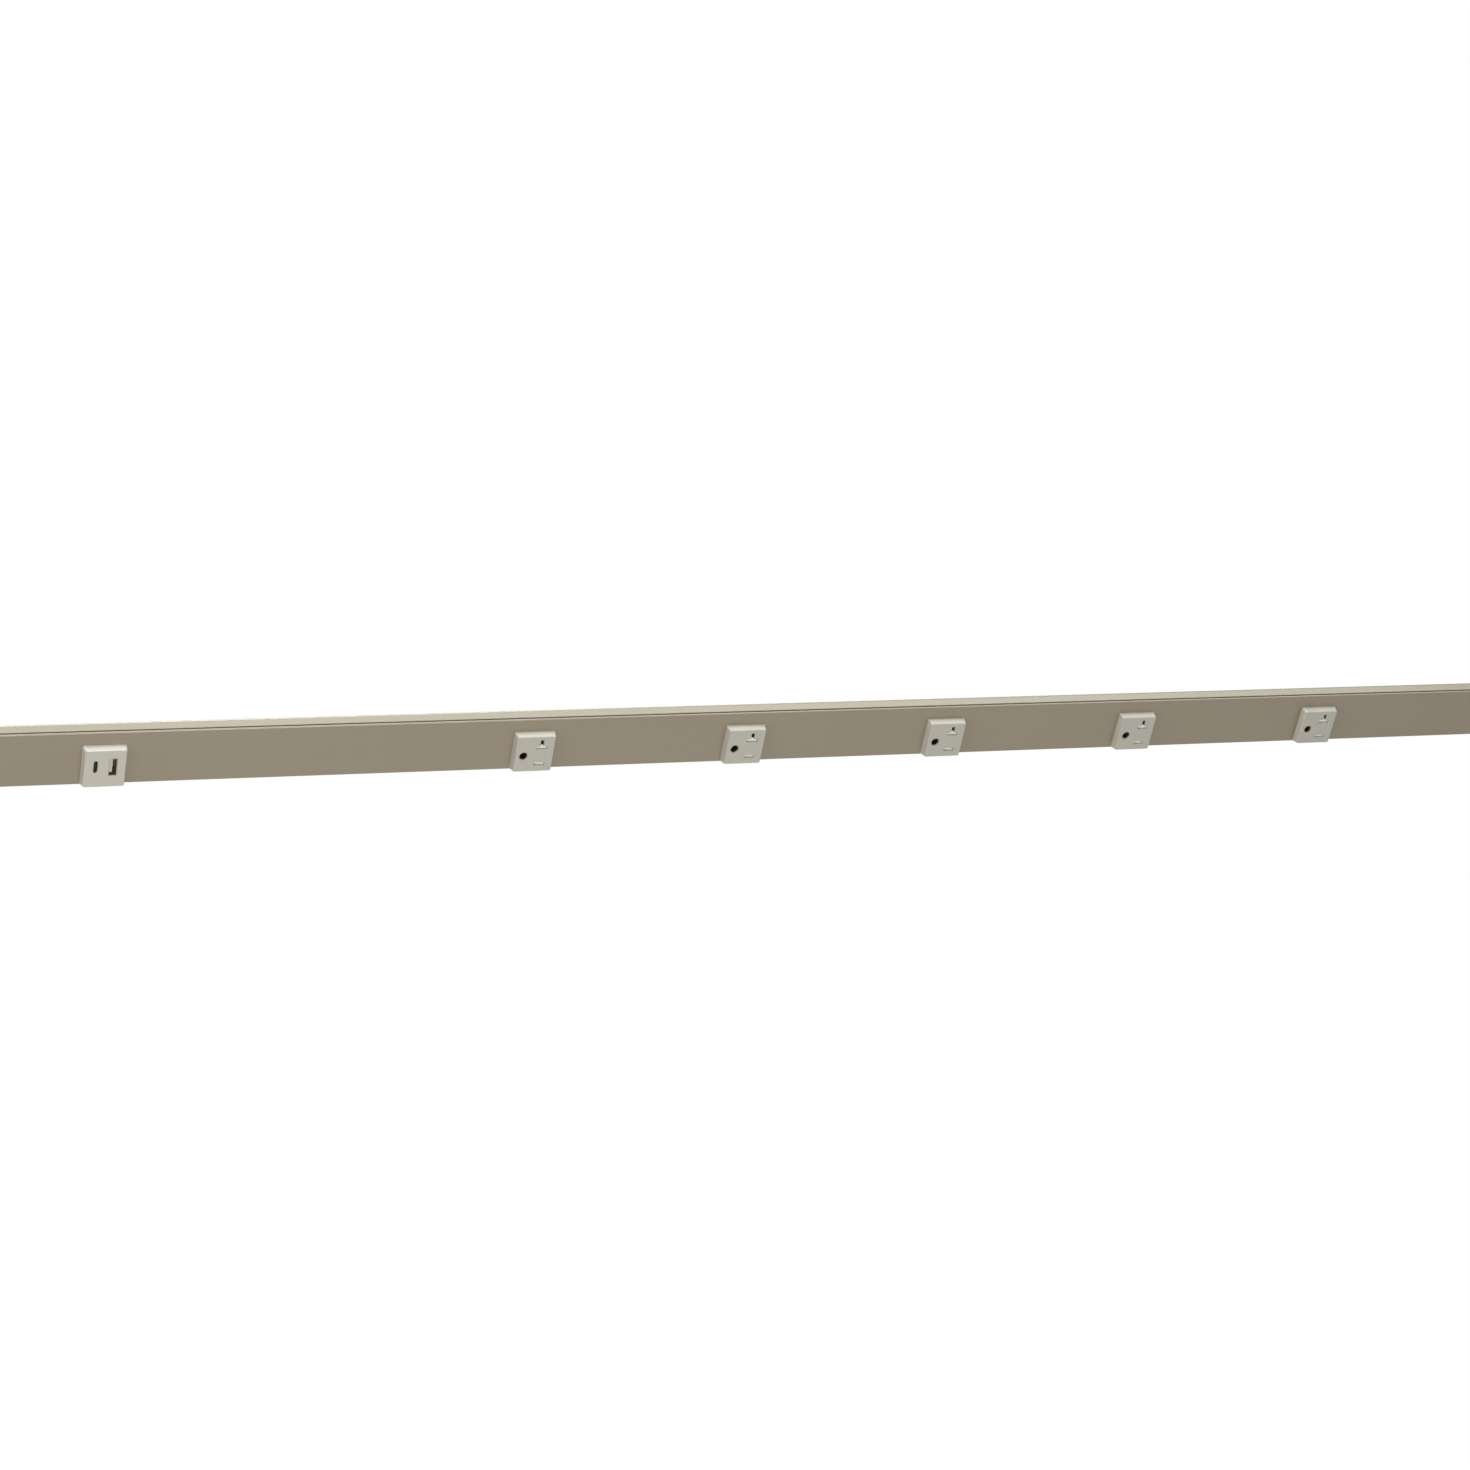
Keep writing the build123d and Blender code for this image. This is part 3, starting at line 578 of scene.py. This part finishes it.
# Gold contacts on the tongues of the two ports, in millimetres. Offsets run along a tongue's
# front, and the sides are its left (-1) and right (1) faces.
portContactSettings = {
    "usb_a_tongue": {
        "piece": "usbAContacts", "offsets": (-3.5, -1.0, 1.0, 3.5), "sides": (1,),
        "width": 1.1, "proud": 0.1, "fromTip": 0.9, "length": 6.2, "edge": 0.04,
    },
    "usb_c_tongue": {
        "piece": "usbCContacts", "offsets": evenOffsets(12, 0.5), "sides": (-1, 1),
        "width": 0.25, "proud": 0.05, "fromTip": 0.7, "length": 4.0, "edge": 0.02,
    },
}
tipDepth = 1.0  # corners this near to a tongue's tip, in millimetres, belong to its front
faceTilt = 45  # from upright
# turns to the face's own axes: x along the strip, y up the slope, z out of it
faceTurn = Matrix.Rotation(math.radians(90 + faceTilt), 4, "X")


def addPortContacts(node, settings):
    corners = [faceTurn.inverted() @ point.co for point in node.data.vertices]
    tip = max(corner.z for corner in corners)
    front = [corner for corner in corners if corner.z > tip - tipDepth * mm]
    left, right = min(corner.x for corner in front), max(corner.x for corner in front)
    middle = (min(corner.y for corner in front) + max(corner.y for corner in front)) / 2
    depth = tip - (settings["fromTip"] + settings["length"] / 2) * mm
    # half of each block is sunk into the tongue
    size = (2 * settings["proud"] * mm, settings["width"] * mm, settings["length"] * mm, 1)
    strips = bmesh.new()
    for side in settings["sides"]:
        surface = right if side > 0 else left
        for offset in settings["offsets"]:
            centre = (surface, middle + offset * mm, depth)
            place = faceTurn @ Matrix.Translation(centre) @ Matrix.Diagonal(size)
            bmesh.ops.create_cube(strips, size=1, matrix=place)
    bmesh.ops.bevel(strips, geom=strips.edges[:], offset=settings["edge"] * mm,
                    offset_type="OFFSET", affect="EDGES", segments=1, profile=0.5, material=-1)
    mesh = bpy.data.meshes.new(settings["piece"])
    strips.to_mesh(mesh)
    strips.free()
    piece = bpy.data.objects.new(settings["piece"], mesh)
    scene.collection.objects.link(piece)
    mesh.materials.append(finishes["contactGold"])
    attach(piece, "strip")


for name, settings in portContactSettings.items():
    addPortContacts(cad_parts[name], settings)
print("port contacts placed")
